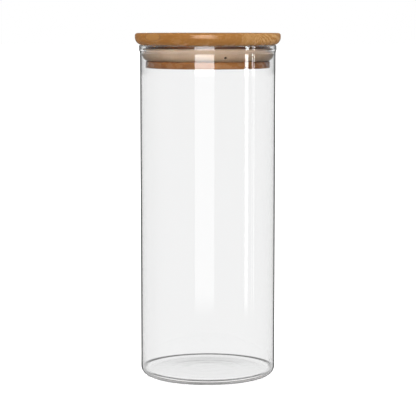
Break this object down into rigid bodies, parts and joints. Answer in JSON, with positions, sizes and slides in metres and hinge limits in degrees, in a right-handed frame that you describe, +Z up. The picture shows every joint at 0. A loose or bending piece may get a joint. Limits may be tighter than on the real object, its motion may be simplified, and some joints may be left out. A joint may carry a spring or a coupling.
{
  "type": "lidded glass canister",
  "caption": "Tall straight-walled clear glass storage jar with a round bamboo lid whose turned plug carries a silicone seal ring.",
  "frame": {"origin": "centre of the base ring that the jar stands on", "axes": "+Z up along the jar's axis; -Y is the side that the picture shows; +X is to its right"},
  "size_m": [0.1072, 0.1072, 0.2538],
  "materials": {
    "glass": "clear, fire-polished",
    "silicone": "translucent, matte",
    "disc_bamboo": "satin lacquer",
    "plug_bamboo": "satin lacquer"
  },
  "bodies": {
    "jar": {"glass_jar": "glass"},
    "seal": {"seal_ring": "silicone"},
    "lid": {"lid_disc_strip_1": "disc_bamboo", "lid_disc_strip_2": "disc_bamboo", "lid_disc_strip_3": "disc_bamboo", "lid_disc_strip_4": "disc_bamboo", "lid_disc_strip_5": "disc_bamboo", "lid_disc_strip_6": "disc_bamboo", "lid_plug_strip_1": "plug_bamboo", "lid_plug_strip_2": "plug_bamboo", "lid_plug_strip_3": "plug_bamboo", "lid_plug_strip_4": "plug_bamboo", "lid_plug_strip_5": "plug_bamboo"}
  },
  "joints": [
    {"name": "lid_lift", "type": "slide", "parent": "jar", "child": "seal", "axis": [0, 0, 1], "range_m": [0, 0.06]},
    {"name": "lid_turn", "type": "hinge", "parent": "seal", "child": "lid", "pos_m": [0, 0, 0.245], "axis": [0, 0, 1], "continuous": true}
  ]
}
